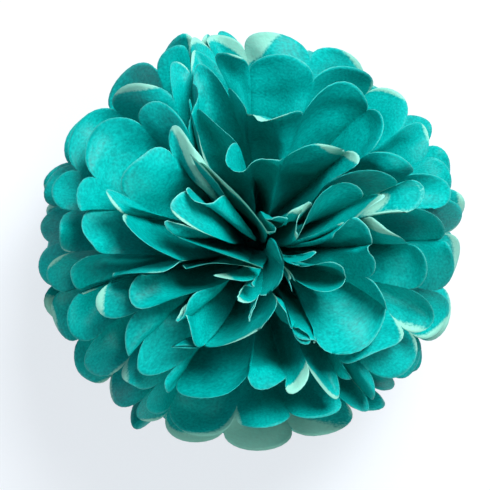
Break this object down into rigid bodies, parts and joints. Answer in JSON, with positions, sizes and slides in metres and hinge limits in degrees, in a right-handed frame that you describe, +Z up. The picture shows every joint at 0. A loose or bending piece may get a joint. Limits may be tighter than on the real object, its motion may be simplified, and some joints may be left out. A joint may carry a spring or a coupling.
{
  "type": "tissue paper pom-pom decoration",
  "caption": "Ball of pleated tissue paper sheets, tied at the middle with twisted wire and pulled apart into rings of round-cut petals.",
  "frame": {"origin": "on the table, under the middle of the ball's outline", "axes": "+Z up, through the tie in the middle of the ball; the strip of pleats runs along Y, and the two halves of each sheet meet over the X axis"},
  "size_m": [0.2486, 0.2442, 0.2217],
  "materials": {
    "tissue": "teal tissue, glazed on one side and matt on the other",
    "wire": "bare florist wire"
  },
  "bodies": {
    "root": {"lower_sheet_1": "tissue", "lower_sheet_2": "tissue", "lower_sheet_3": "tissue", "lower_sheet_4": "tissue", "lower_sheet_5": "tissue", "upper_sheet_1": "tissue", "upper_sheet_2": "tissue", "upper_sheet_3": "tissue", "upper_sheet_4": "tissue", "upper_sheet_5": "tissue", "tie_wire": "wire"}
  },
  "joints": []
}
